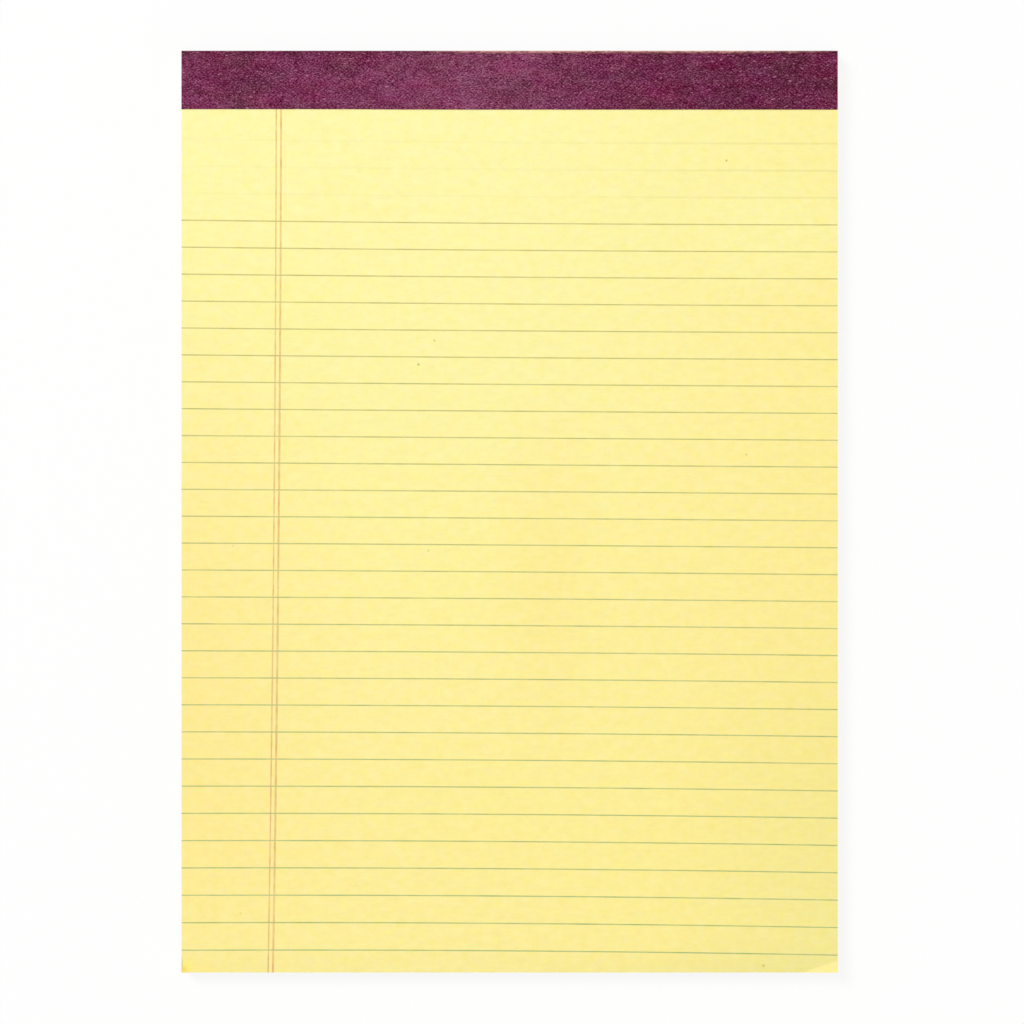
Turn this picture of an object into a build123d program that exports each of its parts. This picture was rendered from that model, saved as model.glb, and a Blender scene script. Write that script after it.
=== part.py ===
from build123d import *
import math
import os

# Legal pad, in millimetres: fifty ruled leaves on a board, wire stitched at the head
# and closed by a folded tape. +Y points to the bound head, +X to the right of the
# page and +Z up through it. The origin is under the middle of the pad's outline, on
# the surface that it rests on.

# Leaves
sheet_width = 212.4
sheet_length = 298.25
leaf_count = 50
leaf_thickness = 0.08
leaf_gap = 0.02  # air between two loose leaf edges
leaf_gap_depth = 0.5  # how far that air reaches in from the side

# Board
board_thickness = 0.8

# Tape
tape_thickness = 0.2
front_flap_length = 19.05  # from the outside of the fold
back_flap_length = 16.0
fold_radius = 0.5  # inside the tape, over the leaves

# Wire stitches
stitch_count = 3
stitch_pitch = 76.2
stitch_setback = 9.5  # from the head of the leaves
crown_length = 12.7  # between the two legs
clinch_length = 4.8
wire_width = 0.6  # flat wire, its broad side on the paper
wire_depth = 0.45
stitch_clearance = 0.03

# Perforation, close under the tape's edge
perforation_setback = 0.35
slit_length = 1.4
slit_width = 0.06
slit_pitch = 2.0

# Lifted bottom corners of the top leaf: reach along the foot, reach up the side, rise
right_curl_reach = 12.2
right_curl_height = 4.2
right_curl_rise = 0.7
left_curl_reach = 3.6
left_curl_height = 4.4
left_curl_rise = 0.5

# Ruling, printed a little askew (degrees, right end lower)
rule_count = 28
rule_pitch = 8.73
rule_line_width = 0.3
first_rule_drop = 55.7  # from the outside of the fold, at the middle of the page
rule_skew = 0.41
margin_inset = 30.4  # from the left edge to the middle of the pair, at mid height
margin_spacing = 1.62
margin_line_width = 0.3
margin_skew = 0.54
ink_thickness = 0.02

# Levels, from the resting surface up
leaf_pitch = leaf_thickness + leaf_gap
stack_height = leaf_count * leaf_pitch - leaf_gap
board_bottom = tape_thickness
board_top = board_bottom + board_thickness
page_top = board_top + stack_height

# Places along and across the page
half_width = sheet_width / 2
foot_y = -(sheet_length + tape_thickness) / 2
head_y = foot_y + sheet_length
fold_y = head_y + tape_thickness
sheet_centre_y = (foot_y + head_y) / 2
front_edge_y = fold_y - front_flap_length
back_edge_y = fold_y - back_flap_length
stitch_y = head_y - stitch_setback
perforation_y = front_edge_y - perforation_setback
slit_count = int((sheet_width - slit_pitch) / slit_pitch)
back_fold_radius = board_thickness / 2

# Wire and the seats that it presses into paper and board
bend_radius = wire_depth / 2 + 3 * stitch_clearance
seat_width = wire_width + 2 * stitch_clearance
seat_depth = wire_depth + 2 * stitch_clearance
crown_level = page_top - seat_depth / 2
clinch_level = board_bottom + seat_depth / 2

os.makedirs("parts", exist_ok=True)


def curl_outline(side, reach, height):
    """The corner triangle of the top leaf that lifts: fold start, corner, fold end."""
    return (
        (side * (half_width - reach), foot_y),
        (side * half_width, foot_y),
        (side * half_width, foot_y + height),
    )


def curled_corner(side, reach, height, rise):
    """A corner of the top leaf, bent up along an arc from its fold line."""
    fold_start = curl_outline(side, reach, height)[0]
    fold_span = math.hypot(reach, height)
    run = reach * height / fold_span
    curl_radius = (run**2 + rise**2) / (2 * rise)
    curl_angle = math.degrees(math.asin(run / curl_radius))
    leaf_bottom = page_top - leaf_thickness
    across_fold = Plane(
        origin=(*fold_start, leaf_bottom),
        x_dir=(side * height, -reach, 0),
        z_dir=(-reach, -side * height, 0),
    )
    with BuildPart() as corner:
        with BuildSketch(across_fold):
            with BuildLine():
                under = CenterArc((0, curl_radius), curl_radius, -90, curl_angle)
                over = CenterArc((0, curl_radius), curl_radius - leaf_thickness, -90, curl_angle)
                Line(under @ 0, over @ 0)
                Line(under @ 1, over @ 1)
            make_face()
        extrude(amount=fold_span, both=True)
        with BuildSketch(Plane.XY.offset(leaf_bottom)):
            with BuildLine():
                Polyline(*curl_outline(side, reach, height), close=True)
            make_face()
        extrude(amount=rise + 2 * leaf_thickness, mode=Mode.INTERSECT)
    return corner.part


curls = (
    (1, right_curl_reach, right_curl_height, right_curl_rise),
    (-1, left_curl_reach, left_curl_height, left_curl_rise),
)
curled_corners = [curled_corner(*curl) for curl in curls]

# The flat part of the writing side, clear of the tape and of the lifted corners
with BuildSketch(Plane.XY.offset(page_top)) as writing_zone:
    with BuildLine():
        Polyline(
            (-half_width, front_edge_y),
            (half_width, front_edge_y),
            (half_width, foot_y + right_curl_height),
            (half_width - right_curl_reach, foot_y),
            (-half_width + left_curl_reach, foot_y),
            (-half_width, foot_y + left_curl_height),
            close=True,
        )
    make_face()

# The block of leaves, one solid with its leaf edges cut in round the sides and foot
with BuildPart() as ruled_sheets:
    with BuildSketch(Plane.XY.offset(board_top)):
        with Locations((0, sheet_centre_y)):
            Rectangle(sheet_width, sheet_length)
    extrude(amount=stack_height)
    head_edge = ruled_sheets.edges().group_by(Axis.Z)[-1].sort_by(Axis.Y)[-1]
    fillet(head_edge, radius=fold_radius)

    gap_planes = [
        Plane.XY.offset(board_top + leaf_pitch * leaf - leaf_gap) for leaf in range(1, leaf_count)
    ]
    with BuildSketch(*gap_planes):
        with Locations((0, sheet_centre_y)):
            Rectangle(sheet_width, sheet_length)
        with Locations((0, sheet_centre_y + leaf_gap_depth)):
            Rectangle(sheet_width - 2 * leaf_gap_depth, sheet_length, mode=Mode.SUBTRACT)
    extrude(amount=leaf_gap, mode=Mode.SUBTRACT)

    with BuildSketch(Plane.XY.offset(page_top)):
        with Locations((0, perforation_y)):
            with GridLocations(slit_pitch, 0, slit_count, 1):
                Rectangle(slit_length, slit_width)
    extrude(amount=-stack_height, mode=Mode.SUBTRACT)

    # Pressed-in seats of the wire crowns, and the holes of the legs
    with BuildSketch(Plane.XY.offset(page_top)):
        with Locations((0, stitch_y)):
            with GridLocations(stitch_pitch, 0, stitch_count, 1):
                Rectangle(crown_length + seat_depth, seat_width)
    extrude(amount=-seat_depth, mode=Mode.SUBTRACT)
    with BuildSketch(Plane.XY.offset(page_top)):
        with Locations((0, stitch_y)):
            with GridLocations(stitch_pitch, 0, stitch_count, 1):
                with GridLocations(crown_length, 0, 2, 1):
                    Rectangle(seat_depth, seat_width)
    extrude(amount=-stack_height, mode=Mode.SUBTRACT)

    # The lifted corners take the place of the flat ones
    with BuildSketch(Plane.XY.offset(page_top)):
        for side, reach, height, rise in curls:
            with BuildLine():
                Polyline(*curl_outline(side, reach, height), close=True)
            make_face()
    extrude(amount=-leaf_pitch, mode=Mode.SUBTRACT)
    for corner in curled_corners:
        add(corner)
ruled_sheets.part.label = "ruled_sheets"
export_step(ruled_sheets.part, "parts/ruled_sheets.step")

# The board, with the seats that the clinched wire ends press into its back
with BuildPart() as backing_board:
    with BuildSketch(Plane.XY.offset(board_bottom)):
        with Locations((0, sheet_centre_y)):
            Rectangle(sheet_width, sheet_length)
    extrude(amount=board_thickness)
    back_edge = backing_board.edges().group_by(Axis.Z)[0].sort_by(Axis.Y)[-1]
    fillet(back_edge, radius=back_fold_radius)

    with BuildSketch(Plane.XY.offset(board_bottom)):
        with Locations((0, stitch_y)):
            with GridLocations(stitch_pitch, 0, stitch_count, 1):
                with GridLocations(crown_length, 0, 2, 1):
                    Rectangle(seat_depth, seat_width)
    extrude(amount=board_thickness, mode=Mode.SUBTRACT)
    with BuildSketch(Plane.XY.offset(board_bottom)):
        with Locations((0, stitch_y)):
            with GridLocations(stitch_pitch, 0, stitch_count, 1):
                with GridLocations(crown_length - clinch_length, 0, 2, 1):
                    Rectangle(clinch_length + seat_depth, seat_width)
    extrude(amount=seat_depth, mode=Mode.SUBTRACT)
backing_board.part.label = "backing_board"
export_step(backing_board.part, "parts/backing_board.step")

# The tape, one strip folded over the head
with BuildPart() as binding_tape:
    with BuildSketch(Plane.YZ.offset(-half_width)):
        with BuildLine():
            FilletPolyline(
                (front_edge_y, page_top),
                (head_y, page_top),
                (head_y, board_bottom),
                (back_edge_y, board_bottom),
                radius=[fold_radius, back_fold_radius],
            )
            offset(amount=tape_thickness, side=Side.LEFT)
        make_face()
    extrude(amount=sheet_width)
binding_tape.part.label = "binding_tape"
export_step(binding_tape.part, "parts/binding_tape.step")

# One wire stitch: crown, two legs, and ends clinched inwards under the board
with BuildPart() as stitch:
    leg_x = crown_length / 2
    clinch_x = leg_x - clinch_length
    with BuildLine(Plane.XZ) as stitch_line:
        FilletPolyline(
            (-clinch_x, clinch_level),
            (-leg_x, clinch_level),
            (-leg_x, crown_level),
            (leg_x, crown_level),
            (leg_x, clinch_level),
            (clinch_x, clinch_level),
            radius=bend_radius,
        )
    stitch_wire = stitch_line.wires()[0]
    with BuildSketch(Plane(origin=stitch_wire @ 0, x_dir=(0, 1, 0), z_dir=stitch_wire % 0)):
        Rectangle(wire_width, wire_depth)
    sweep()

with BuildPart() as staples:
    with Locations((0, stitch_y, 0)):
        with GridLocations(stitch_pitch, 0, stitch_count, 1):
            add(stitch.part)
staples.part.label = "staples"
export_step(staples.part, "parts/staples.step")

# The printed lines, thin strips clipped to the writing side
rules_centre_y = fold_y - first_rule_drop - rule_pitch * (rule_count - 1) / 2
rules_plane = Plane(origin=(0, rules_centre_y, page_top)).rotated((0, 0, -rule_skew))
margin_plane = Plane(origin=(margin_inset - half_width, 0, page_top)).rotated((0, 0, -margin_skew))

with BuildPart() as red_margin_rules:
    with BuildSketch(margin_plane):
        with GridLocations(margin_spacing, 0, 2, 1):
            Rectangle(margin_line_width, 2 * sheet_length)
    extrude(amount=ink_thickness)
    extrude(writing_zone.sketch, amount=ink_thickness, mode=Mode.INTERSECT)
red_margin_rules.part.label = "red_margin_rules"
export_step(red_margin_rules.part, "parts/red_margin_rules.step")

with BuildPart() as blue_rules:
    with BuildSketch(rules_plane):
        with GridLocations(0, rule_pitch, 1, rule_count):
            Rectangle(2 * sheet_width, rule_line_width)
    extrude(amount=ink_thickness)
    extrude(writing_zone.sketch, amount=ink_thickness, mode=Mode.INTERSECT)
    add(red_margin_rules.part, mode=Mode.SUBTRACT)
blue_rules.part.label = "blue_rules"
export_step(blue_rules.part, "parts/blue_rules.step")
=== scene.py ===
import math
import random

import bmesh
import bpy
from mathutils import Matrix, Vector, noise


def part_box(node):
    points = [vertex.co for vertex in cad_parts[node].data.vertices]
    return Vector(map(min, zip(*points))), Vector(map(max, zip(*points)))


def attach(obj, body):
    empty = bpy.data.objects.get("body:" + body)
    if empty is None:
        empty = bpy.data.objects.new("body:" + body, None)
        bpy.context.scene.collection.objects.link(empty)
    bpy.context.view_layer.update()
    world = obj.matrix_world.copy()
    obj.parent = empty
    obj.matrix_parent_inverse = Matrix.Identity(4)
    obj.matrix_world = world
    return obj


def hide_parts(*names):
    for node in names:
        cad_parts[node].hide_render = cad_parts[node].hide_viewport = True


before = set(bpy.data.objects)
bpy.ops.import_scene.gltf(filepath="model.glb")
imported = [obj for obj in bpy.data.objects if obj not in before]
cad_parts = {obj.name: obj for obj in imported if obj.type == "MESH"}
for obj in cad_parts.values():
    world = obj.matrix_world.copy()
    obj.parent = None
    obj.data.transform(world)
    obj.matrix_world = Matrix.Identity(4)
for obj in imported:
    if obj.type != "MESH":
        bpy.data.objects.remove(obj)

# Legal pad on its back: loose ruled leaves on a board, wire stitched at the head and closed
# by a folded binding strip. Lengths are millimetres, and a finished piece becomes metres.

mm = 0.001
smoothLimit = math.radians(35)  # edges sharper than this stay crisp
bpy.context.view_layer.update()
nodeBox = {name: [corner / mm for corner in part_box(name)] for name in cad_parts}

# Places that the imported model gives
halfWidth = nodeBox["ruled_sheets"][1].x
footY = nodeBox["ruled_sheets"][0].y
headY = nodeBox["ruled_sheets"][1].y
boardBottom = nodeBox["backing_board"][0].z
boardTop = nodeBox["backing_board"][1].z
frontEdgeY = nodeBox["binding_tape"][0].y
stripThickness = 0.2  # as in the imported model
pageTop = nodeBox["binding_tape"][1].z - stripThickness
curlTop = nodeBox["ruled_sheets"][1].z


# Small helpers

def linear(hexColour):  # sRGB hex to the linear colour that a shader takes
    channels = [int(hexColour[place:place + 2], 16) / 255 for place in (1, 3, 5)]
    return [*(c / 12.92 if c <= 0.04045 else ((c + 0.055) / 1.055) ** 2.4 for c in channels), 1]


def smooth(share):  # soft step from 0 to 1
    share = max(0.0, min(1.0, share))
    return share * share * (3 - 2 * share)


# A colour Mix takes its factor at 0 and its colours at 6 and 7, and gives the mixed one at 2
def addNode(tree, kind, settings=None, inputs=None):
    node = tree.nodes.new(kind)
    for name, value in (settings or {}).items():
        setattr(node, name, value)
    for socket, value in (inputs or {}).items():
        if isinstance(value, bpy.types.NodeSocket):
            tree.links.new(value, node.inputs[socket])
        else:
            node.inputs[socket].default_value = value
    return node


def newMaterial(name):
    material = bpy.data.materials.new(name)
    material.use_nodes = True
    material.node_tree.nodes.clear()
    return material


def placeInMm(tree):  # object coordinates, in millimetres
    coordinates = addNode(tree, "ShaderNodeTexCoord").outputs["Object"]
    mapping = addNode(tree, "ShaderNodeMapping", None, {"Vector": coordinates, "Scale": (1 / mm,) * 3})
    return mapping.outputs["Vector"]


def finishShape(shape, name, material):
    bmesh.ops.recalc_face_normals(shape, faces=shape.faces[:])
    bmesh.ops.scale(shape, vec=(mm, mm, mm), verts=shape.verts[:])
    mesh = bpy.data.meshes.new(name)
    shape.to_mesh(mesh)
    shape.free()
    mesh.shade_smooth()
    mesh.set_sharp_from_angle(angle=smoothLimit)
    mesh.materials.append(material)
    piece = bpy.data.objects.new(name, mesh)
    bpy.context.scene.collection.objects.link(piece)
    return piece


def newPiece(shape, name, material, slotName, *replacedNodes):
    piece = finishShape(shape, name, material)
    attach(piece, "root")
    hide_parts(*replacedNodes)
    print(name, "has", len(piece.data.polygons), "faces")


# Camera, straight above the page

view = {
    "lens": 100,
    "sensor": 36,
    "imageSpan": 331.46,  # of the page plane, across the 1024 pixels
    "centre": (0.78, -0.16),  # the page plane's point at the middle of the picture
}
cameraData = bpy.data.cameras.new("camera")
cameraData.lens = view["lens"]
cameraData.sensor_width = view["sensor"]
camera = bpy.data.objects.new("camera", cameraData)
cameraHeight = pageTop + view["imageSpan"] * view["lens"] / view["sensor"]
camera.location = Vector((*view["centre"], cameraHeight)) * mm
bpy.context.scene.collection.objects.link(camera)
bpy.context.scene.camera = camera
print("camera", round(cameraHeight), "mm up")


# Form of the top page, which the leaves and the ink follow

page = {
    "leafThickness": 0.08,
    "underLeaves": 49,
    "airShare": 0.02,  # mean gap under a loose leaf
    "gapSpread": (0.35, 1.65),  # a gap against the mean one
    "gapWave": 0.5,  # how much a gap changes along a leaf
    "leafDrift": 0.37,  # how much the waves of a gap change from leaf to leaf
    "jog": 0.14,  # a lower leaf's edge stands back by up to this
    "edgeShadeShare": (0.3, 1),  # share of the painted shade on a leaf's cut edge
    "sameLine": 0.01,  # grid lines closer than this are one
    "sag": 0.1,  # the page dips by up to this, clear of the strip
    "sagWave": 68,
    "looseLength": 60,  # from the strip to where the leaves lie fully loose
    "leafStep": 20,  # between the grid lines of a lower leaf
    "pageStep": 6,
    "curlStep": 0.5,
    "curlZone": 6,
    "curlMargin": 1,  # fine grid lines go this far past a curl
    # side, reach along the foot, reach up the side, share of the full rise
    "curls": [(1, 12.2, 4.2, 1.0), (-1, 3.6, 4.4, 0.72)],
    "curlSoftness": 0.06,
    "liftShown": 0.06,  # a corner lifted by this has caught the light
    "seed": 7,
}
perforation = {
    "setback": 0.35,
    "slitLength": 1.4,
    "slitWidth": 0.025,
    "pitch": 2.0,
    "slits": 105,
    "margin": 3,  # plain paper between the slits and the last coarse row
}
stitch = {
    "count": 3,
    "pitch": 76.2,
    "setback": 9.5,
    "crown": 12.7,
    "seatWidth": 0.66,
    "seatDepth": 0.51,
}
stitchY = headY - stitch["setback"]


def curlLift(x, y):  # how far a lifted corner stands above the page
    lift = 0.0
    for side, reach, height, share in page["curls"]:
        foldLength = math.hypot(reach, height)
        run = reach * height / foldLength  # from the fold to the corner
        past = (side * x - halfWidth + reach) * height - (y - footY) * reach
        progress = min(1.0, past / foldLength / run)
        if progress > 0:
            soft = page["curlSoftness"]
            bend = (math.hypot(progress, soft) - soft) / (math.hypot(1, soft) - soft)
            lift += bend * share * (curlTop - pageTop)
    return lift


def sag(x, y):  # loose leaves wave a little, and lie flat at the strip
    wave = noise.noise(Vector((x, y, page["seed"])) / page["sagWave"])
    loose = smooth((frontEdgeY - y) / page["looseLength"])
    return -page["sag"] * loose * (0.5 + 0.5 * wave)


def pageHeight(x, y):
    return pageTop + sag(x, y) + curlLift(x, y)


def linesBetween(low, high, step):  # evenly spaced, both ends included
    count = max(1, round((high - low) / step))
    return [low + (high - low) * line / count for line in range(count + 1)]


def addLeaf(shape, columns, rows, placeAt, holes):
    spans = len(columns) - 1, len(rows) - 1
    grid = bmesh.ops.create_grid(shape, x_segments=spans[0], y_segments=spans[1], size=0.5)["verts"]
    for vert in grid:
        vert.co = placeAt(round((vert.co.x + 0.5) * spans[0]), round((vert.co.y + 0.5) * spans[1]))
    faces = list(dict.fromkeys(face for vert in grid for face in vert.link_faces))
    cut = []
    for face in faces:
        middle = face.calc_center_median()
        if any(abs(middle.x - x) < reachX and abs(middle.y - y) < reachY
               for x, y, reachX, reachY in holes):
            cut.append(face)
    bmesh.ops.delete(shape, geom=cut, context="FACES")
    kept = [face for face in faces if face.is_valid]
    lifted = bmesh.ops.extrude_face_region(shape, geom=kept)["geom"]
    upper = [part for part in lifted if isinstance(part, bmesh.types.BMVert)]
    bmesh.ops.translate(shape, verts=upper, vec=(0, 0, page["leafThickness"]))
    return [vert for vert in grid if vert.is_valid] + upper


# Canary paper

paper = {
    "head": "#FFF9B5",
    "foot": "#FFF0A3",
    "footTone": -110,  # the foot's tone is reached here
    "deeper": (0.995, 0.98, 0.75, 1),  # of the tint, where the dye took more
    "dyeSize": 3.2,
    "dyeGain": 2.3,
    "cloudSize": 1.7,
    "cloudStretch": 0.6,
    "cloudDepth": 0.058,
    "streakSize": 1.2,
    "streakStretch": 0.15,  # the machine direction runs across the page
    "streakDepth": 0.025,
    "hueDrift": (0.3, 0.7),
    "greener": (0.98, 1, 1, 1),  # the dye's hue drifts between these
    "warmer": (1, 0.98, 1, 1),
    "fibreSize": 0.4,  # real ones are finer: drawn as coarse as they need to be to show
    "fibreBump": 0.008,
    "roughness": 0.85,
    "ior": 1.5,
    "gloss": 0.2,
    # deeper colour of the cut edges: painted shade among the rough cut fibres
    "edge": "#F0DD8E",
    "edgeFacing": (0.6, 0.2),  # of the normal's upward share, from face to cut edge
    # x, y, reach across and along, and the share of each colour in the middle of a place where
    # the flat page looks deeper, duller or paler: painted shade where the light falls off towards the
    # right side, the foot and round the lifted right corner, and in places the paper's own uneven tone
    "paintedShadeAndTone": [
        (140, 0, 160, 2000, (1, 0.947, 0.845)),
        (-135, -40, 105, 170, (1, 0.93, 0.845)),
        (12, -20, 24, 80, (1, 0.965, 0.93)),
        (115, -140, 75, 140, (0.935, 1, 1)),
        (106, -152, 110, 14, (0.955, 0.965, 1)),
        (110, -150, 80, 75, (1, 1.015, 1.07)),
        (-10, -15, 95, 60, (1, 1, 0.955)),
        (-8, -92, 48, 38, (1, 1, 0.95)),
        (45, -110, 60, 90, (1, 1.02, 1)),
        (0, -150, 300, 14, (0.97, 0.985, 0.985)),
        (88, 92, 38, 27, (1, 1.03, 1.09)),
        (-70, 66, 26, 20, (1, 1, 0.94)),
    ],
    "speck": "#6F7A3C",
    # x, y, radius, strength of the dark specks in the pulp
    "specks": [
        (-29.49, 47.59, 0.68, 0.62),
        (-24.31, 55.35, 0.66, 0.4),
        (70.21, 113.62, 0.53, 0.68),
        (82.18, -147.03, 0.62, 0.5),
        (-26.25, -12.62, 0.56, 0.37),
        (76.68, 18.45, 0.64, 0.29),
        (-89.6, -11.17, 0.48, 0.3),
        (-87.11, -130.13, 0.55, 0.24),
    ],
    # x, y, reach across and along, strength, colour of the oranger yellow on the lifted corner at
    # the left of the foot, and of the painted shadow along the left edge beside it
    "leftCornerColourAndShadow": [
        (-101, -148.4, 12, 4, 0.45, "#FFEA84"),
        (-104.6, -147.2, 3, 3.6, 0.75, "#FFF27A"),
        (-105.5, -148.3, 1.7, 1.9, 0.75, "#FFD45C"),
        (-106.1, -146.3, 0.6, 3, 0.75, "#CFC286"),
    ],
    "showThrough": 0.095,
    "showThroughWidth": 0.6,
    "showThroughRules": (0.5, 3.5),  # counted up the page from the first printed rule
    "showThroughFrom": 5,  # fainter to the left of here
    "showThroughTo": 95,
    "showThroughLeast": 0.28,
}

# Ruling: 28 lines and a margin pair, printed a little askew. The photo's lens spreads the
# lines outwards from spreadCentre, and a spread of 0 makes them straight.
ruling = {
    "count": 28,
    "first": 93.141,
    "pitch": 8.666,
    "skew": math.radians(0.417),
    "width": 0.36,
    "margin": -75.334,
    "marginGap": 1.54,
    "marginSkew": math.radians(0.454),
    "marginWidths": (0.46, 0.64),
    "spread": 3.34e-7,
    "spreadCentre": (-0.02, 19.31),
    "inkThickness": 0.02,
    "inkSunk": 0.004,  # below the paper, so that a strip never floats
    "overMargin": 0.003,  # the rules cross on top of the margin lines
    "underStrip": 0.1,  # the margin lines run on under the binding strip's edge
    "step": 2,
    "widthWave": 0.14,
    "waveLength": 3.5,
    "waveSeed": 9,
}


def paperTint(tree, place):  # the dye looks paler at the head than at the foot
    alongPage = addNode(tree, "ShaderNodeSeparateXYZ", None, {0: place}).outputs["Y"]
    toFoot = addNode(tree, "ShaderNodeMapRange", None,
                     {"Value": alongPage, "From Min": frontEdgeY, "From Max": paper["footTone"]})
    tint = addNode(tree, "ShaderNodeMix", {"data_type": "RGBA"},
                   {0: toFoot.outputs[0], 6: linear(paper["head"]), 7: linear(paper["foot"])})
    return tint.outputs[2]


def showThroughMask(tree, place):  # the other side's ruling, in the head margin only
    # The lens's spread is taken off first, so that the lines are straight and evenly apart
    centre = (*ruling["spreadCentre"], pageTop)
    fromCentre = addNode(tree, "ShaderNodeVectorMath", {"operation": "SUBTRACT"}, {0: place, 1: centre})
    squared = addNode(tree, "ShaderNodeVectorMath", {"operation": "DOT_PRODUCT"},
                      {0: fromCentre.outputs[0], 1: fromCentre.outputs[0]})
    gather = addNode(tree, "ShaderNodeMath", {"operation": "MULTIPLY_ADD"},
                     {0: squared.outputs["Value"], 1: -ruling["spread"], 2: 1})
    straight = addNode(tree, "ShaderNodeVectorMath", {"operation": "SCALE"},
                       {0: fromCentre.outputs[0], "Scale": gather.outputs[0]})
    straightened = addNode(tree, "ShaderNodeVectorMath", {"operation": "ADD"},
                           {0: straight.outputs[0], 1: centre})
    acrossLines = addNode(tree, "ShaderNodeVectorMath", {"operation": "DOT_PRODUCT"},
                          {0: straightened.outputs[0], 1: (math.tan(ruling["skew"]), 1, 0)})
    lineNumber = addNode(tree, "ShaderNodeMapRange", {"clamp": False},
                         {"Value": acrossLines.outputs["Value"], "From Min": ruling["first"],
                          "From Max": ruling["first"] + ruling["pitch"]}).outputs[0]
    offLine = addNode(tree, "ShaderNodeMath", {"operation": "PINGPONG"}, {0: lineNumber, 1: 0.5})
    onLine = addNode(tree, "ShaderNodeMapRange", {"interpolation_type": "SMOOTHSTEP"},
                     {"Value": offLine.outputs[0],
                      "From Min": paper["showThroughWidth"] / ruling["pitch"], "From Max": 0})
    low, high = paper["showThroughRules"]
    inHead = addNode(tree, "ShaderNodeMath", {"operation": "GREATER_THAN"}, {0: lineNumber, 1: low})
    belowStrip = addNode(tree, "ShaderNodeMath", {"operation": "LESS_THAN"}, {0: lineNumber, 1: high})
    across = addNode(tree, "ShaderNodeSeparateXYZ", None, {0: place}).outputs["X"]
    stronger = addNode(tree, "ShaderNodeMapRange", {"interpolation_type": "SMOOTHSTEP"},
                       {"Value": across, "From Min": paper["showThroughFrom"],
                        "From Max": paper["showThroughTo"], "To Min": paper["showThroughLeast"]})
    mask = onLine.outputs[0]
    for factor in (inHead.outputs[0], belowStrip.outputs[0], stronger.outputs[0]):
        mask = addNode(tree, "ShaderNodeMath", {"operation": "MULTIPLY"}, {0: mask, 1: factor}).outputs[0]
    return mask


def softSpot(tree, place, x, y, reachX, reachY):  # 1 in its middle, 0 at its reach
    spread = addNode(tree, "ShaderNodeMapping", None,
                     {"Vector": place, "Location": (-x / reachX, -y / reachY, 0),
                      "Scale": (1 / reachX, 1 / reachY, 0)})
    away = addNode(tree, "ShaderNodeVectorMath", {"operation": "LENGTH"}, {0: spread.outputs[0]})
    return addNode(tree, "ShaderNodeMapRange", {"interpolation_type": "SMOOTHSTEP"},
                   {"Value": away.outputs["Value"], "From Min": 1, "From Max": 0}).outputs[0]


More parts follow.
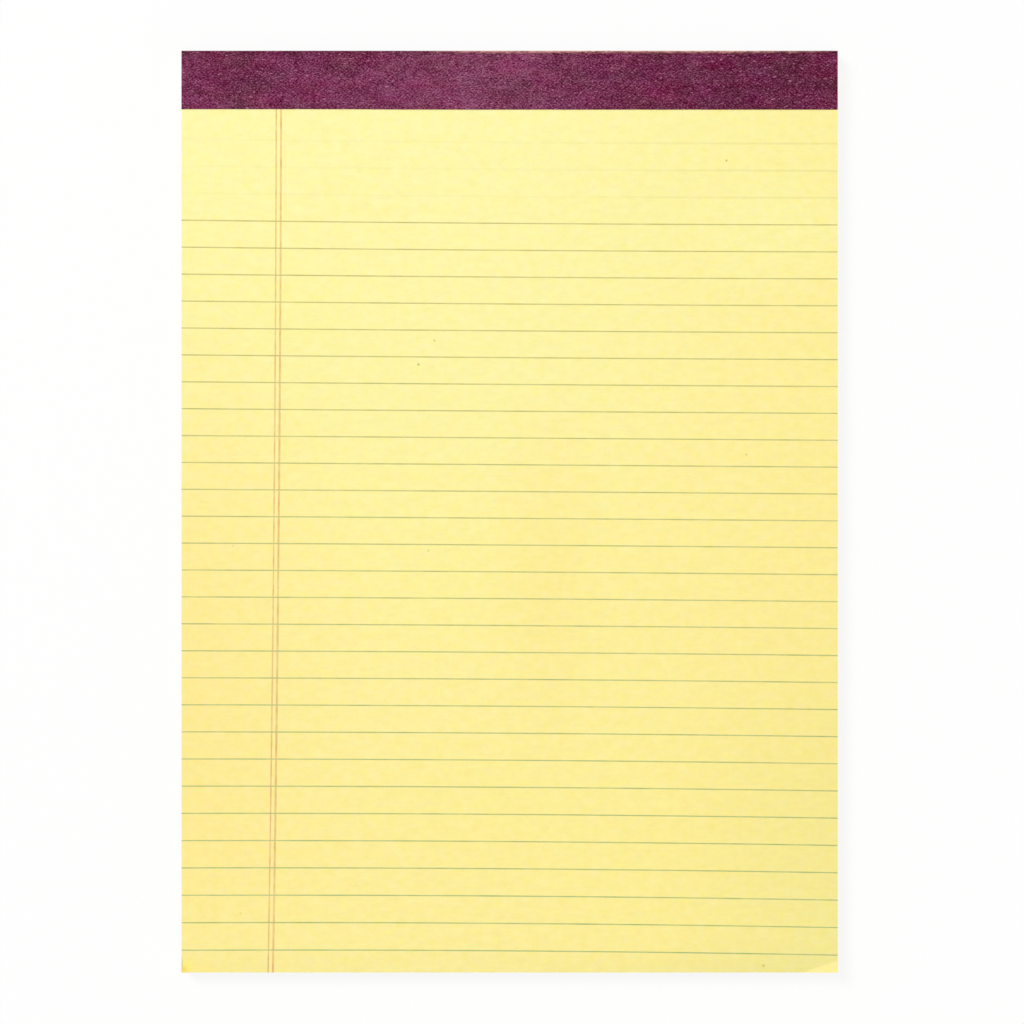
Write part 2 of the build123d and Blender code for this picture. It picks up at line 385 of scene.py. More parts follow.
def canaryPaper(name, topPage):
    # Dyed, uncoated, machine-finished writing paper: matt and even, with cloudy fibre, dye taken
    # up a little unevenly, faint streaks in the machine direction, and a few dark specks of pulp.
    material = newMaterial(name)
    tree = material.node_tree
    place = placeInMm(tree)
    colour = paperTint(tree, place)
    dye = addNode(tree, "ShaderNodeTexNoise", None,
                  {"Vector": place, "Scale": 1 / paper["dyeSize"], "Detail": 4, "Roughness": 0.65})
    gain = paper["dyeGain"]
    uptake = addNode(tree, "ShaderNodeMapRange", {"clamp": False},
                     {"Value": dye.outputs[0], "To Min": 0.5 - gain / 2, "To Max": 0.5 + gain / 2})
    colour = addNode(tree, "ShaderNodeMix", {"data_type": "RGBA", "blend_type": "MULTIPLY"},
                     {0: uptake.outputs[0], 6: colour, 7: paper["deeper"]}).outputs[2]
    otherField = addNode(tree, "ShaderNodeSeparateColor", None, {0: dye.outputs[1]}).outputs[1]
    hueDrift = addNode(tree, "ShaderNodeMapRange", None,
                       {"Value": otherField, "From Min": paper["hueDrift"][0],
                        "From Max": paper["hueDrift"][1]})
    hue = addNode(tree, "ShaderNodeMix", {"data_type": "RGBA"},
                  {0: hueDrift.outputs[0], 6: paper["greener"], 7: paper["warmer"]})
    colour = addNode(tree, "ShaderNodeVectorMath", {"operation": "MULTIPLY"},
                     {0: colour, 1: hue.outputs[2]}).outputs[0]
    for kind in ("cloud", "streak"):
        stretched = addNode(tree, "ShaderNodeMapping", None,
                            {"Vector": place, "Scale": (paper[kind + "Stretch"], 1, 1)})
        fibre = addNode(tree, "ShaderNodeTexNoise", None,
                        {"Vector": stretched.outputs[0], "Scale": 1 / paper[kind + "Size"], "Detail": 4,
                         "Roughness": 0.6})
        depth = paper[kind + "Depth"]
        level = addNode(tree, "ShaderNodeMapRange", None,
                        {"Value": fibre.outputs[0], "To Min": 1 - depth, "To Max": 1 + depth})
        colour = addNode(tree, "ShaderNodeVectorMath", {"operation": "SCALE"},
                         {0: colour, "Scale": level.outputs[0]}).outputs[0]
    if topPage:
        shaded = addNode(tree, "ShaderNodeMapRange", None,
                         {"Value": showThroughMask(tree, place), "To Min": 1,
                          "To Max": 1 - paper["showThrough"]})
        colour = addNode(tree, "ShaderNodeVectorMath", {"operation": "SCALE"},
                         {0: colour, "Scale": shaded.outputs[0]}).outputs[0]
        lift = addNode(tree, "ShaderNodeAttribute", {"attribute_name": "lift"}).outputs["Fac"]
        onFlat = addNode(tree, "ShaderNodeMapRange", None,
                         {"Value": lift, "From Min": page["liftShown"], "From Max": 0}).outputs[0]
        # painted shade and the paper's uneven tone, on the flat page only and kept off the lifted corners
        for *spot, tone in paper["paintedShadeAndTone"]:
            level = addNode(tree, "ShaderNodeMath", {"operation": "MULTIPLY"},
                            {0: softSpot(tree, place, *spot), 1: onFlat})
            colour = addNode(tree, "ShaderNodeMix", {"data_type": "RGBA", "blend_type": "MULTIPLY"},
                             {0: level.outputs[0], 6: colour, 7: (*tone, 1)}).outputs[2]
        # the dark specks of pulp, then the oranger yellow and the painted shadow at the lifted left corner
        # of the foot
        specks = [(x, y, radius, radius, strength, paper["speck"])
                  for x, y, radius, strength in paper["specks"]]
        for *spot, strength, markColour in specks + paper["leftCornerColourAndShadow"]:
            level = addNode(tree, "ShaderNodeMath", {"operation": "MULTIPLY"},
                            {0: softSpot(tree, place, *spot), 1: strength})
            colour = addNode(tree, "ShaderNodeMix", {"data_type": "RGBA"},
                             {0: level.outputs[0], 6: colour, 7: linear(markColour)}).outputs[2]
    else:
        # The guillotined edges: painted a little deeper, as painted shade among the rough cut fibres, each
        # leaf with its own share of it
        normal = addNode(tree, "ShaderNodeNewGeometry").outputs["Normal"]
        upright = addNode(tree, "ShaderNodeSeparateXYZ", None, {0: normal}).outputs["Z"]
        facing = addNode(tree, "ShaderNodeMath", {"operation": "ABSOLUTE"}, {0: upright})
        onEdge = addNode(tree, "ShaderNodeMapRange", None,
                         {"Value": facing.outputs[0], "From Min": paper["edgeFacing"][0],
                          "From Max": paper["edgeFacing"][1]})
        tone = addNode(tree, "ShaderNodeAttribute", {"attribute_name": "leafTone"}).outputs["Fac"]
        edgeLevel = addNode(tree, "ShaderNodeMath", {"operation": "MULTIPLY"},
                            {0: onEdge.outputs[0], 1: tone})
        colour = addNode(tree, "ShaderNodeMix", {"data_type": "RGBA"},
                         {0: edgeLevel.outputs[0], 6: colour, 7: linear(paper["edge"])}).outputs[2]
    fibres = addNode(tree, "ShaderNodeTexNoise", None,
                     {"Vector": place, "Scale": 1 / paper["fibreSize"], "Detail": 2, "Distortion": 0.6})
    bump = addNode(tree, "ShaderNodeBump", None,
                   {"Distance": paper["fibreBump"] * mm, "Height": fibres.outputs[0]})
    shader = addNode(tree, "ShaderNodeBsdfPrincipled", None,
                     {"Base Color": colour, "Roughness": paper["roughness"], "IOR": paper["ior"],
                      "Specular IOR Level": paper["gloss"], "Normal": bump.outputs[0]})
    addNode(tree, "ShaderNodeOutputMaterial", None, {0: shader.outputs[0]})
    return material


# Leaves

random.seed(page["seed"])
crownReach = (stitch["crown"] + stitch["seatDepth"]) / 2
stitchPlaces = [stitch["pitch"] * (number - (stitch["count"] - 1) / 2)
                for number in range(stitch["count"])]
legPlaces = [x + side * stitch["crown"] / 2 for x in stitchPlaces for side in (-1, 1)]
legHoles = [(x, stitchY, stitch["seatDepth"] / 2, stitch["seatWidth"] / 2) for x in legPlaces]
crownSeats = [(x, stitchY, crownReach, stitch["seatWidth"] / 2) for x in stitchPlaces]
holeColumns = [x + side * stitch["seatDepth"] / 2 for x in legPlaces for side in (-1, 1)]
holeRows = [stitchY + side * stitch["seatWidth"] / 2 for side in (-1, 1)]


def mergedLines(*groups):  # sorted, without near doubles
    lines = []
    for line in sorted(line for group in groups for line in group):
        if not lines or line - lines[-1] > page["sameLine"]:
            lines.append(line)
    return lines


def makeUnderLeaves():
    columns = mergedLines(linesBetween(-halfWidth, halfWidth, page["leafStep"]), holeColumns)
    rows = mergedLines(linesBetween(footY, headY, page["leafStep"]), holeRows)
    count = page["underLeaves"]
    shares = [random.uniform(*page["gapSpread"]) for _ in range(count)]
    # Height of every leaf over every grid point: the gaps share out the air in the stack
    heights = {}
    for column, x in enumerate(columns):
        for row, y in enumerate(rows):
            gaps = []
            for leaf in range(count):
                place = Vector((x / page["sagWave"], y / page["sagWave"], leaf * page["leafDrift"]))
                gaps.append(shares[leaf] * (1 + page["gapWave"] * noise.noise(place)))
            air = (count * page["airShare"] + sag(x, y)) / sum(gaps)
            level = boardTop
            for leaf in range(count):
                heights[leaf, column, row] = level
                level += page["leafThickness"] + gaps[leaf] * air
    shape = bmesh.new()
    toneLayer = shape.verts.layers.float.new("leafTone")
    for leaf in range(count):
        left, right, foot = (random.uniform(0, page["jog"]) for _ in range(3))
        tone = random.uniform(*page["edgeShadeShare"])
        lastColumn = len(columns) - 1

        def placeAt(column, row):
            x = columns[column] + (left if column == 0 else 0) - (right if column == lastColumn else 0)
            y = rows[row] + (foot if row == 0 else 0)
            return Vector((x, y, heights[leaf, column, row]))

        leafTopLevel = heights[leaf, 0, len(rows) - 1] + page["leafThickness"]
        holes = crownSeats if leafTopLevel > pageTop - stitch["seatDepth"] else legHoles
        for vert in addLeaf(shape, columns, rows, placeAt, holes):
            vert[toneLayer] = tone
    newPiece(shape, "under_leaves", canaryPaper("canary writing paper, cut edges", False),
             "canary_paper", "ruled_sheets")


def makeTopLeaf():
    slitPlaces = [perforation["pitch"] * (number - (perforation["slits"] - 1) / 2)
                  for number in range(perforation["slits"])]
    slitY = frontEdgeY - perforation["setback"]
    slits = [(x, slitY, perforation["slitLength"] / 2, perforation["slitWidth"] / 2) for x in slitPlaces]
    slitColumns = [x + side * perforation["slitLength"] / 2 for x in slitPlaces for side in (-1, 1)]
    slitRows = [slitY + side * perforation["slitWidth"] / 2 for side in (-1, 1)]
    curlColumns = []
    for side, reach, _, _ in page["curls"]:
        low, high = sorted((side * (halfWidth - reach - page["curlMargin"]), side * halfWidth))
        curlColumns += linesBetween(low, high, page["curlStep"])
    columns = mergedLines([-halfWidth, halfWidth], slitColumns, holeColumns, curlColumns)
    rows = mergedLines(linesBetween(footY, footY + page["curlZone"], page["curlStep"]),
                       linesBetween(footY + page["curlZone"], slitY - perforation["margin"],
                                    page["pageStep"]),
                       slitRows, holeRows, [headY])

    def placeAt(column, row):
        x, y = columns[column], rows[row]
        return Vector((x, y, pageHeight(x, y) - page["leafThickness"]))

    shape = bmesh.new()
    liftLayer = shape.verts.layers.float.new("lift")
    for vert in addLeaf(shape, columns, rows, placeAt, slits + crownSeats):
        vert[liftLayer] = curlLift(*vert.co.xy)
    newPiece(shape, "top_leaf", canaryPaper("canary writing paper", True),
             "canary_paper", "ruled_sheets")


makeUnderLeaves()
makeTopLeaf()
print("leaves done")


# Binding strip

strip = {
    "frontFold": 0.5,
    "backFold": 0.4,
    "backLength": 16,
    "rowStep": 0.8,
    "columnStep": 0.9,
    "foldSteps": 8,
    "edgeStepUp": 0.15,  # the cut edge stands higher at the left
    "edgeStepFrom": -66,
    "edgeStepTo": -16,
    "edgeDown": 0.09,
    "edgeWobble": 0.025,
    "wobbleLength": 9,
    "wobbleSeed": 4.2,
    "edgeReach": 4,  # how far in from the edge that goes
    "edgePress": 0.1,  # the cut edge is pressed thinner on the page
    "edgePressReach": 1.4,
    "flapSlack": 0.05,  # the front flap's points lie above this depth under the page
    "crownPrint": 0.05,  # the stitch crowns press through this much
    "crownSoft": 1.3,
}


def stripEdgeShift(x):
    up = 1 - smooth((x - strip["edgeStepFrom"]) / (strip["edgeStepTo"] - strip["edgeStepFrom"]))
    wobble = noise.noise(Vector((x / strip["wobbleLength"], 0, strip["wobbleSeed"])))
    return strip["edgeStepUp"] * up - strip["edgeDown"] + strip["edgeWobble"] * wobble


def crownPrint(x, y):
    lift = 0.0
    for place in stitchPlaces:
        pastEnd = max(0, abs(x - place) - stitch["crown"] / 2)
        away = math.hypot(pastEnd, y - stitchY) / strip["crownSoft"]
        lift += strip["crownPrint"] * math.exp(-away * away)
    return lift


def makeStrip():
    foldOver, foldUnder = strip["frontFold"], strip["backFold"]
    shape = bmesh.new()
    end = [shape.verts.new((-halfWidth, frontEdgeY, pageTop))]

    def runTo(y, z):  # a straight run of the strip's inner side
        along = Vector((0, y, z)) - Vector((0, *end[0].co.yz))
        steps = max(1, round(along.length / strip["rowStep"]))
        return bmesh.ops.spin(shape, geom=end, axis=(1, 0, 0), dvec=along / steps, steps=steps,
                              angle=0)["geom_last"]

    def foldAround(y, z):
        return bmesh.ops.spin(shape, geom=end, axis=(1, 0, 0), cent=(-halfWidth, y, z),
                              angle=-math.pi / 2, steps=strip["foldSteps"])["geom_last"]

    end = runTo(headY - foldOver, pageTop)
    end = foldAround(headY - foldOver, pageTop - foldOver)
    end = runTo(headY, boardBottom + foldUnder)
    end = foldAround(headY - foldUnder, boardBottom + foldUnder)
    end = runTo(headY + stripThickness - strip["backLength"], boardBottom)
    columns = round(2 * halfWidth / strip["columnStep"])
    bmesh.ops.spin(shape, geom=shape.verts[:] + shape.edges[:], axis=(1, 0, 0), angle=0,
                   dvec=(2 * halfWidth / columns, 0, 0), steps=columns)
    bmesh.ops.solidify(shape, geom=shape.faces[:], thickness=stripThickness)
    for vert in shape.verts:
        x, y, z = vert.co
        if z > pageTop - strip["flapSlack"]:
            fromEdge = (y - frontEdgeY) / strip["edgeReach"]
            vert.co.y += stripEdgeShift(x) * max(0, 1 - fromEdge)
            if z > pageTop + stripThickness / 2:
                pressed = strip["edgePress"] * max(0, 1 - (y - frontEdgeY) / strip["edgePressReach"])
                vert.co.z += crownPrint(x, y) - pressed
    newPiece(shape, "binding_strip", leatherette(), "leatherette_paper", "binding_tape")


leather = {
    # from the hollows to the rubbed tops, evenly apart
    "shades": ["#3C0018", "#54092D", "#6D2849", "#874463", "#A05E7D"],
    # size, stretch and strength of the speckle, the fibre strokes and the blotches
    "grain": (0.36, (0.65, 1.15, 1), 2.95),
    "strokes": (0.9, (0.4, 1.3, 1), 0.58),
    "blotches": (8, (0.6, 1.3, 1), 0.68),
    "embossPitch": (1.411, 1.154),  # 18 by 22 to the inch
    "embossSway": 1.9,  # the lattice doesn't run quite straight: it sways by up to this
    "embossSwaySize": 13,
    # how much the lattice darkens and lightens the colour: painted shade and highlight of the embossing
    "embossShadeGain": 0.12,
    "hueSize": 8,
    "saturationGain": 0.5,
    "hueGain": 0.05,
    "fibre": "#B98199",
    "fibreSize": 0.45,  # real ones are finer: drawn as coarse as they need to be to show
    "fibreStretch": (0.4, 1.3, 1),
    "fibreRange": (0.74, 0.84),
    "paleSheenPlace": -13,  # the middle of the front flap is painted paler: a painted sheen, with a paler colour there too
    "paleSheenReach": 60,
    "paleSheenGain": 0.13,
    "darkerFrom": 10,
    "darkerGain": 0.13,
    "foldReach": 1.4,
    "foldDepth": (2.5, 0.6),  # below the page, where the fold's shade starts and is full
    "foldGain": -0.21,
    "worn": "#E4AE9F",
    "wornDepth": (0.9, 0.1),  # below the page, where the wear starts and is full
    # along the head: where the wear starts, is full, and ends again
    "wornPlaces": (-50, 0, 70, 138),
    "wornFrom": 0.09,
    "wornTo": 0.7,
    "roughness": 0.6,
    "ior": 1.5,
    "gloss": 0.05,
    "grainBump": 0.03,
    "embossRelief": 0.4,  # the lattice's share of the bump
}


def leatherette():
    # Binding paper embossed with a fine diamond lattice and printed like leather: fibrous speckle
    # of dark hollows and rubbed pale tops, with the plum running redder and greyer in places.
    # Along the head fold the colour is worn off to the pale core.
    material = newMaterial("plum leatherette paper")
    tree = material.node_tree
    place = placeInMm(tree)
    x, y, z = (addNode(tree, "ShaderNodeSeparateXYZ", None, {0: place}).outputs[axis] for axis in "XYZ")
    level = 0.5  # of the way from the darkest shade to the palest
    fields = {}
    for kind in ("grain", "strokes", "blotches"):
        size, stretch, gain = leather[kind]
        stretched = addNode(tree, "ShaderNodeMapping", None, {"Vector": place, "Scale": stretch})
        fields[kind] = addNode(tree, "ShaderNodeTexNoise", None,
                               {"Vector": stretched.outputs[0], "Scale": 1 / size, "Detail": 2,
                                "Roughness": 0.6, "Distortion": 0.8}).outputs[0]
        centred = addNode(tree, "ShaderNodeMath", {"operation": "SUBTRACT"}, {0: fields[kind], 1: 0.5})
        level = addNode(tree, "ShaderNodeMath", {"operation": "MULTIPLY_ADD"},
                        {0: centred.outputs[0], 1: gain, 2: level}).outputs[0]
    # The embossed lattice follows the strip round the fold, and sways a little
    overFold = addNode(tree, "ShaderNodeMath", {"operation": "SUBTRACT"}, {0: y, 1: z}).outputs[0]
    sway = addNode(tree, "ShaderNodeTexNoise", None,
                   {"Vector": place, "Scale": 1 / leather["embossSwaySize"], "Detail": 1})
    sideways = addNode(tree, "ShaderNodeSeparateColor", None, {0: sway.outputs[1]}).outputs
    waves = []
    for way, aside, pitch in zip((x, overFold), sideways, leather["embossPitch"]):
        swayed = addNode(tree, "ShaderNodeMath", {"operation": "MULTIPLY_ADD"},
                         {0: aside, 1: leather["embossSway"], 2: way})
        turn = addNode(tree, "ShaderNodeMath", {"operation": "MULTIPLY"},
                       {0: swayed.outputs[0], 1: 2 * math.pi / pitch})
        wave = addNode(tree, "ShaderNodeMath", {"operation": "SINE"}, {0: turn.outputs[0]})
        waves.append(wave.outputs[0])
    lattice = addNode(tree, "ShaderNodeMath", {"operation": "MULTIPLY"},
                      {0: waves[0], 1: waves[1]}).outputs[0]
    # The lattice is painted into the colour too: painted shade in its hollows and a painted highlight on
    # its ridges, besides its bump
    level = addNode(tree, "ShaderNodeMath", {"operation": "MULTIPLY_ADD"},
                    {0: lattice, 1: leather["embossShadeGain"], 2: level}).outputs[0]
    # Painted sheen and paler colour in the middle of the front flap
    fromPaleSheen = addNode(tree, "ShaderNodeMath", {"operation": "SUBTRACT"},
                         {0: x, 1: leather["paleSheenPlace"]})
    away = addNode(tree, "ShaderNodeMath", {"operation": "ABSOLUTE"}, {0: fromPaleSheen.outputs[0]})
    paleSheen = addNode(tree, "ShaderNodeMapRange", {"interpolation_type": "SMOOTHSTEP"},
                     {"Value": away.outputs[0], "From Min": leather["paleSheenReach"], "From Max": 0,
                      "To Max": leather["paleSheenGain"]})
    darker = addNode(tree, "ShaderNodeMapRange", None,
                     {"Value": x, "From Min": leather["darkerFrom"], "From Max": halfWidth,
                      "To Max": -leather["darkerGain"]})
    onFold = addNode(tree, "ShaderNodeMapRange", None,
                     {"Value": y, "From Min": headY - leather["foldReach"],
                      "From Max": headY + stripThickness}).outputs[0]
    low, high = (pageTop - depth for depth in leather["foldDepth"])
    nearTop = addNode(tree, "ShaderNodeMapRange", None,
                      {"Value": z, "From Min": low, "From Max": high, "To Max": leather["foldGain"]})
    foldShade = addNode(tree, "ShaderNodeMath", {"operation": "MULTIPLY"},
                        {0: onFold, 1: nearTop.outputs[0]})
    for change in (paleSheen, darker, foldShade):
        level = addNode(tree, "ShaderNodeMath", {"operation": "ADD"},
                        {0: level, 1: change.outputs[0]}).outputs[0]
    ramp = addNode(tree, "ShaderNodeValToRGB", None, {0: level})
    stops = ramp.color_ramp.elements
    shades = leather["shades"]
    for number in range(1, len(shades) - 1):
        stops.new(number / (len(shades) - 1))
    for stop, shade in zip(stops, shades):
        stop.color = linear(shade)
    # The print's colour wanders
    drift = addNode(tree, "ShaderNodeMapping", None, {"Vector": place, "Scale": leather["blotches"][1]})
    wander = addNode(tree, "ShaderNodeTexNoise", None,
                     {"Vector": drift.outputs[0], "Scale": 1 / leather["hueSize"], "Detail": 4,
                      "Roughness": 0.6})
    channels = addNode(tree, "ShaderNodeSeparateColor", None, {0: wander.outputs[1]}).outputs
    saturation, hue = (
        addNode(tree, "ShaderNodeMapRange", {"clamp": False},
                {"Value": channel, "To Min": middle - gain / 2, "To Max": middle + gain / 2}).outputs[0]
        for channel, middle, gain in ((channels[0], 1, leather["saturationGain"]),
                                      (channels[1], 0.5, leather["hueGain"])))
    printed = addNode(tree, "ShaderNodeHueSaturation", None,
                      {"Hue": hue, "Saturation": saturation, "Color": ramp.outputs[0]})
    # Single pale fibres
    combed = addNode(tree, "ShaderNodeMapping", None, {"Vector": place, "Scale": leather["fibreStretch"]})
    threads = addNode(tree, "ShaderNodeTexNoise", None,
                      {"Vector": combed.outputs[0], "Scale": 1 / leather["fibreSize"], "Detail": 0,
                       "Distortion": 0.5})
    onFibre = addNode(tree, "ShaderNodeMapRange", None,
                      {"Value": threads.outputs[0], "From Min": leather["fibreRange"][0],
                       "From Max": leather["fibreRange"][1]})
    fibred = addNode(tree, "ShaderNodeMix", {"data_type": "RGBA"},
                     {0: onFibre.outputs[0], 6: printed.outputs[0], 7: linear(leather["fibre"])})
    # Wear on the head fold, ragged by the strokes
    start, full, stillFull, over = leather["wornPlaces"]
    low, high = (pageTop - depth for depth in leather["wornDepth"])
    wear = addNode(tree, "ShaderNodeMapRange", {"interpolation_type": "SMOOTHSTEP"},
                   {"Value": z, "From Min": low, "From Max": high}).outputs[0]
    for low, high in ((start, full), (over, stillFull)):
        alongHead = addNode(tree, "ShaderNodeMapRange", {"interpolation_type": "SMOOTHSTEP"},
                            {"Value": x, "From Min": low, "From Max": high})
        wear = addNode(tree, "ShaderNodeMath", {"operation": "MULTIPLY"},
                       {0: wear, 1: alongHead.outputs[0]}).outputs[0]
    wear = addNode(tree, "ShaderNodeMath", {"operation": "MULTIPLY"}, {0: wear, 1: onFold}).outputs[0]
    ragged = addNode(tree, "ShaderNodeMath", {"operation": "MULTIPLY"},
                     {0: wear, 1: fields["strokes"]})
    worn = addNode(tree, "ShaderNodeMapRange", {"interpolation_type": "SMOOTHSTEP"},
                   {"Value": ragged.outputs[0], "From Min": leather["wornFrom"],
                    "From Max": leather["wornTo"]})
    colour = addNode(tree, "ShaderNodeMix", {"data_type": "RGBA"},
                     {0: worn.outputs[0], 6: fibred.outputs[2], 7: linear(leather["worn"])})
    relief = addNode(tree, "ShaderNodeMath", {"operation": "MULTIPLY_ADD"},
                     {0: lattice, 1: leather["embossRelief"], 2: fields["grain"]})
    bump = addNode(tree, "ShaderNodeBump", None,
                   {"Distance": leather["grainBump"] * mm, "Height": relief.outputs[0]})
    shader = addNode(tree, "ShaderNodeBsdfPrincipled", None,
                     {"Base Color": colour.outputs[2], "Roughness": leather["roughness"],
                      "IOR": leather["ior"], "Specular IOR Level": leather["gloss"],
                      "Normal": bump.outputs[0]})
    addNode(tree, "ShaderNodeOutputMaterial", None, {0: shader.outputs[0]})
    return material


makeStrip()
print("binding strip done")


# Printed lines

ink = {
    "blueHead": "#D1C47E",
    "blueFoot": "#B0C180",
    "redHead": "#EFCE84",
    "redFoot": "#EBC485",
    "bluePatch": 2.5,  # the wheel lays the ink down unevenly, in patches this long
    "redPatch": 0.9,
    "blueDensity": (0.75, 1.2),
    "redDensity": (0.6, 1.4),
    "runStretch": 0.3,
    "patchRange": (0.25, 0.75),  # of the noise, from thin to full ink
    "roughness": 0.8,
    "ior": 1.5,
    "gloss": 0.2,
}


def spreadOut(place, other, axis):  # what the lens adds to a place on that axis
    centre = ruling["spreadCentre"]
    offsets = place - centre[axis], other - centre[1 - axis]
    return place + ruling["spread"] * (offsets[0] ** 2 + offsets[1] ** 2) * offsets[0]


def ruleY(number, x):
    straight = ruling["first"] - ruling["pitch"] * number - math.tan(ruling["skew"]) * x
    return spreadOut(straight, x, 1)


def marginX(side, y):
    straight = ruling["margin"] + side * ruling["marginGap"] / 2 + math.tan(ruling["marginSkew"]) * y
    return spreadOut(straight, y, 0)


def inkWidth(width, x, y):
    wave = noise.noise(Vector((x, y, ruling["waveSeed"])) / ruling["waveLength"])
    return width * (1 + ruling["widthWave"] * wave)


def addInkStrip(shape, stops, edgeAt, raised=0):
    spans = len(stops) - 1
    grid = bmesh.ops.create_grid(shape, x_segments=spans, y_segments=1, size=0.5)["verts"]
    for vert in grid:
        x, y = edgeAt(stops[round((vert.co.x + 0.5) * spans)], 1 if vert.co.y > 0 else -1)
        vert.co = (x, y, pageHeight(x, y) - ruling["inkSunk"] + raised)
    faces = list(dict.fromkeys(face for vert in grid for face in vert.link_faces))
    lifted = bmesh.ops.extrude_face_region(shape, geom=faces)["geom"]
    upper = [part for part in lifted if isinstance(part, bmesh.types.BMVert)]
    bmesh.ops.translate(shape, verts=upper, vec=(0, 0, ruling["inkThickness"]))


def makeRuledLines():
    shape = bmesh.new()
    for number in range(ruling["count"]):
        def edgeAt(x, side):
            y = ruleY(number, x)
            return x, y + side * inkWidth(ruling["width"], x, y) / 2

        stops = linesBetween(-halfWidth, halfWidth, ruling["step"])
        addInkStrip(shape, stops, edgeAt, ruling["overMargin"])
    newPiece(shape, "ruled_lines",
             printedInk("blue-green ruling ink", "blue", (ink["runStretch"], 1, 1)),
             "blue_green_ink", "blue_rules")


def makeMarginLines():
    shape = bmesh.new()
    for side, width in zip((-1, 1), ruling["marginWidths"]):
        def edgeAt(y, edge):
            x = marginX(side, y)
            return x + edge * inkWidth(width, x, y) / 2, y

        top = frontEdgeY + stripEdgeShift(ruling["margin"]) + ruling["underStrip"]
        addInkStrip(shape, linesBetween(footY, top, ruling["step"]), edgeAt)
    newPiece(shape, "margin_lines", printedInk("red ruling ink", "red", (1, ink["runStretch"], 1)),
             "red_ink", "red_margin_rules")


def printedInk(name, shade, stretch):
    # Water-based ruling ink: a thin stain, so the yellow shows through it more where it ran thin
    material = newMaterial(name)
    tree = material.node_tree
    place = placeInMm(tree)
    alongPage = addNode(tree, "ShaderNodeSeparateXYZ", None, {0: place}).outputs["Y"]
    toFoot = addNode(tree, "ShaderNodeMapRange", None,
                     {"Value": alongPage, "From Min": frontEdgeY, "From Max": footY})
    stain = addNode(tree, "ShaderNodeMix", {"data_type": "RGBA"},
                    {0: toFoot.outputs[0], 6: linear(ink[shade + "Head"]), 7: linear(ink[shade + "Foot"])})
    run = addNode(tree, "ShaderNodeMapping", None, {"Vector": place, "Scale": stretch})
    patches = addNode(tree, "ShaderNodeTexNoise", None,
                      {"Vector": run.outputs[0], "Scale": 1 / ink[shade + "Patch"], "Detail": 3})
    low, high = ink["patchRange"]
    thin, full = ink[shade + "Density"]
    density = addNode(tree, "ShaderNodeMapRange", {"clamp": False},
                      {"Value": patches.outputs[0], "From Min": low, "From Max": high,
                       "To Min": thin, "To Max": full})
    colour = addNode(tree, "ShaderNodeMix", {"data_type": "RGBA", "clamp_factor": False},
                     {0: density.outputs[0], 6: paperTint(tree, place), 7: stain.outputs[2]})
    shader = addNode(tree, "ShaderNodeBsdfPrincipled", None,
                     {"Base Color": colour.outputs[2], "Roughness": ink["roughness"],
                      "IOR": ink["ior"], "Specular IOR Level": ink["gloss"]})
    addNode(tree, "ShaderNodeOutputMaterial", None, {0: shader.outputs[0]})
    return material


makeRuledLines()
makeMarginLines()
print("printed lines done")


# Board and stitches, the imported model's own nodes

board = {
    "base": "#9A8A76",
    "pale": "#B9AA94",
    "dark": "#6E6152",
    "cloudSize": 6,
    "fibreSize": 0.9,  # real ones are finer: drawn as coarse as they need to be to show
    "fibreStretch": (1, 0.3, 1),
    "fibreRange": (0.55, 0.8),
    "fleckSpacing": 2.6,
    "fleckRange": (0.16, 0.08),  # of that spacing, from a fleck's rim to its full tone
    "fleckStrength": 0.7,
    "fibreBump": 0.03,
    "roughness": 0.9,
    "ior": 1.5,
    "gloss": 0.2,
}
wire = {
    "colour": "#B9BABD",
    "drawnSize": 0.08,  # the drawn lines, real ones are finer: drawn as coarse as they need to be to show
    "drawnStretch": (0.05, 1, 1),
    "roughness": 0.35,
    "roughnessSpread": 0.1,
}


def chipboard():
    # Unbleached board pressed from waste paper: grey-brown, with pale fibres and dark flecks
    material = newMaterial("grey-brown chipboard")
    tree = material.node_tree
    place = placeInMm(tree)
    clouds = addNode(tree, "ShaderNodeTexNoise", None,
                     {"Vector": place, "Scale": 1 / board["cloudSize"], "Detail": 4})
    longFibres = addNode(tree, "ShaderNodeMapping", None,
                         {"Vector": place, "Scale": board["fibreStretch"]})
    fibres = addNode(tree, "ShaderNodeTexNoise", None,
                     {"Vector": longFibres.outputs[0], "Scale": 1 / board["fibreSize"], "Detail": 4,
                      "Distortion": 2})
    cloudy = addNode(tree, "ShaderNodeMix", {"data_type": "RGBA"},
                     {0: clouds.outputs[0], 6: linear(board["base"]), 7: linear(board["pale"])})
    paleFibres = addNode(tree, "ShaderNodeMapRange", None,
                         {"Value": fibres.outputs[0], "From Min": board["fibreRange"][0],
                          "From Max": board["fibreRange"][1]})
    fibred = addNode(tree, "ShaderNodeMix", {"data_type": "RGBA"},
                     {0: paleFibres.outputs[0], 6: cloudy.outputs[2], 7: linear(board["pale"])})
    cells = addNode(tree, "ShaderNodeTexVoronoi", None,
                    {"Vector": place, "Scale": 1 / board["fleckSpacing"]})
    flecks = addNode(tree, "ShaderNodeMapRange", None,
                     {"Value": cells.outputs["Distance"], "From Min": board["fleckRange"][0],
                      "From Max": board["fleckRange"][1], "To Max": board["fleckStrength"]})
    colour = addNode(tree, "ShaderNodeMix", {"data_type": "RGBA"},
                     {0: flecks.outputs[0], 6: fibred.outputs[2], 7: linear(board["dark"])})
    bump = addNode(tree, "ShaderNodeBump", None,
                   {"Distance": board["fibreBump"] * mm, "Height": fibres.outputs[0]})
    shader = addNode(tree, "ShaderNodeBsdfPrincipled", None,
                     {"Base Color": colour.outputs[2], "Roughness": board["roughness"],
                      "IOR": board["ior"], "Specular IOR Level": board["gloss"],
                      "Normal": bump.outputs[0]})
    addNode(tree, "ShaderNodeOutputMaterial", None, {0: shader.outputs[0]})
    return material


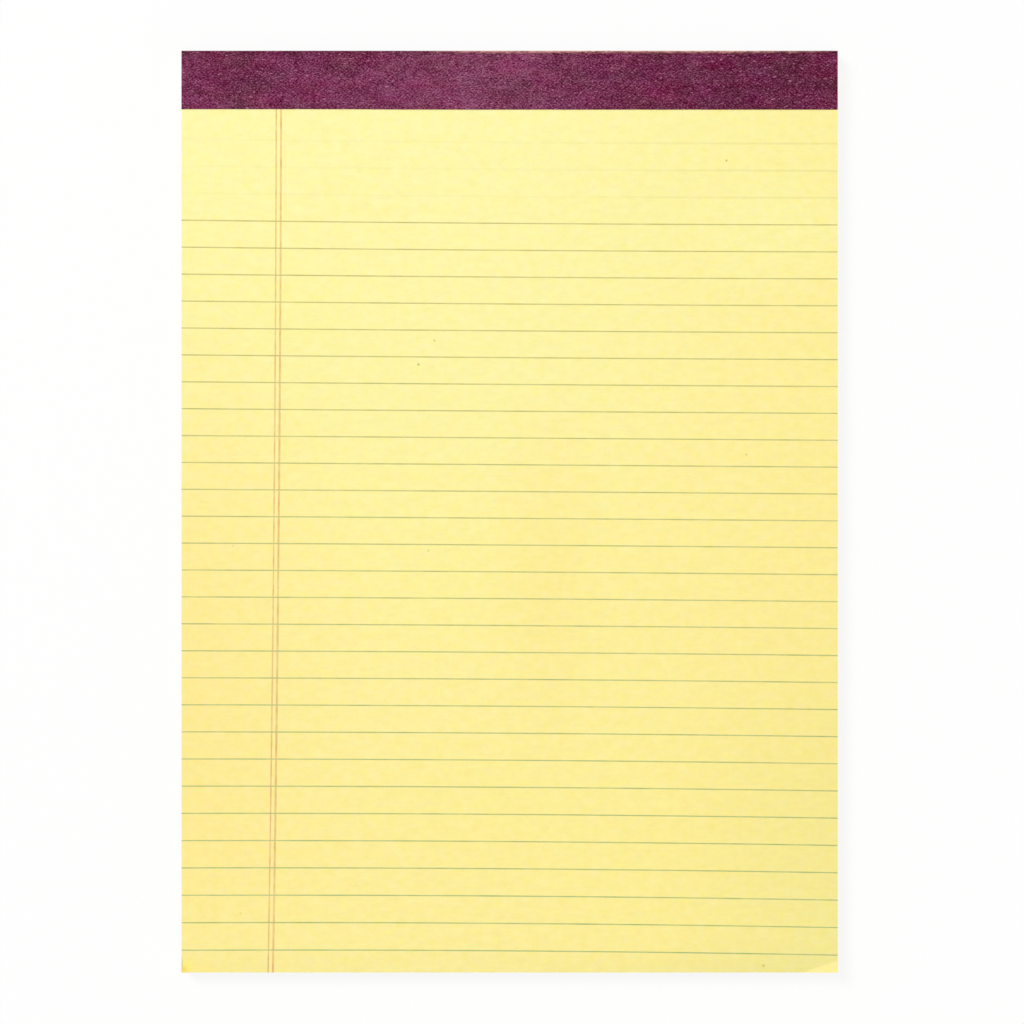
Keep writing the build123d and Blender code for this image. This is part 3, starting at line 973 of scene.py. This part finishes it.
def galvanisedWire():
    # Zinc-coated steel drawn flat: bright, with fine lines along its length
    material = newMaterial("galvanised stitching wire")
    tree = material.node_tree
    place = placeInMm(tree)
    drawn = addNode(tree, "ShaderNodeMapping", None, {"Vector": place, "Scale": wire["drawnStretch"]})
    lines = addNode(tree, "ShaderNodeTexNoise", None,
                    {"Vector": drawn.outputs[0], "Scale": 1 / wire["drawnSize"], "Detail": 2})
    gloss = addNode(tree, "ShaderNodeMapRange", None,
                    {"Value": lines.outputs[0], "To Min": wire["roughness"] - wire["roughnessSpread"],
                     "To Max": wire["roughness"] + wire["roughnessSpread"]})
    shader = addNode(tree, "ShaderNodeBsdfPrincipled", None,
                     {"Base Color": linear(wire["colour"]), "Metallic": 1, "Roughness": gloss.outputs[0]})
    addNode(tree, "ShaderNodeOutputMaterial", None, {0: shader.outputs[0]})
    return material


for nodeName, material in (("backing_board", chipboard()), ("staples", galvanisedWire())):
    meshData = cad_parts[nodeName].data
    meshData.materials.clear()
    meshData.materials.append(material)
print("board and stitches done")


# Floor, world and lamp

stage = {
    "floorSize": 8000,
    "floor": "#FAFAF8",
    "floorLift": 0.86,  # share of plain white that the camera sees on the floor
    "world": 0.46,
    # place, size and power of the soft lamps
    "key": ((-3570, 3230, 4845), 2900, 343),
    "fill": ((1700, -2300, 900), 1500, 14),
}


def whiteToCamera(tree):  # 1 for what the camera sees, also in a reflection
    ray = addNode(tree, "ShaderNodeLightPath").outputs
    mask = ray["Is Camera Ray"]
    for kind in ("Is Glossy Ray", "Is Transmission Ray"):
        mask = addNode(tree, "ShaderNodeMath", {"operation": "MAXIMUM"},
                       {0: mask, 1: ray[kind]}).outputs[0]
    return mask


def makeFloor():
    # Matt white paint: plain and pale, lifted to white for the camera with the shadow kept
    material = newMaterial("matt white painted floor")
    tree = material.node_tree
    lit = addNode(tree, "ShaderNodeBsdfDiffuse", None, {"Color": linear(stage["floor"])})
    white = addNode(tree, "ShaderNodeEmission", None, {"Color": (1, 1, 1, 1), "Strength": 1})
    lift = addNode(tree, "ShaderNodeMath", {"operation": "MULTIPLY"},
                   {0: whiteToCamera(tree), 1: stage["floorLift"]})
    shader = addNode(tree, "ShaderNodeMixShader", None,
                     {0: lift.outputs[0], 1: lit.outputs[0], 2: white.outputs[0]})
    addNode(tree, "ShaderNodeOutputMaterial", None, {0: shader.outputs[0]})
    shape = bmesh.new()
    bmesh.ops.create_grid(shape, x_segments=1, y_segments=1, size=stage["floorSize"] / 2)
    floor = finishShape(shape, "floor", material)


def makeWorld():
    world = bpy.data.worlds.new("soft white room")
    world.use_nodes = True
    tree = world.node_tree
    tree.nodes.clear()
    room = addNode(tree, "ShaderNodeBackground", None, {"Color": (1, 1, 1, 1), "Strength": stage["world"]})
    backdrop = addNode(tree, "ShaderNodeBackground", None, {"Color": (1, 1, 1, 1), "Strength": 1})
    seen = addNode(tree, "ShaderNodeMixShader", None,
                   {0: whiteToCamera(tree), 1: room.outputs[0], 2: backdrop.outputs[0]})
    addNode(tree, "ShaderNodeOutputWorld", None, {0: seen.outputs[0]})
    bpy.context.scene.world = world


def makeLamp(name):
    place, size, power = stage[name]
    lampData = bpy.data.lights.new(name, "AREA")
    lampData.shape = "SQUARE"
    lampData.size = size * mm
    lampData.energy = power
    lamp = bpy.data.objects.new(name, lampData)
    lamp.location = Vector(place) * mm
    lamp.rotation_euler = (-lamp.location).to_track_quat("-Z", "Y").to_euler()
    bpy.context.scene.collection.objects.link(lamp)


makeFloor()
makeWorld()
makeLamp("key")
makeLamp("fill")
bpy.context.scene.view_settings.view_transform = "Standard"
print("stage done")

bpy.context.view_layer.update()
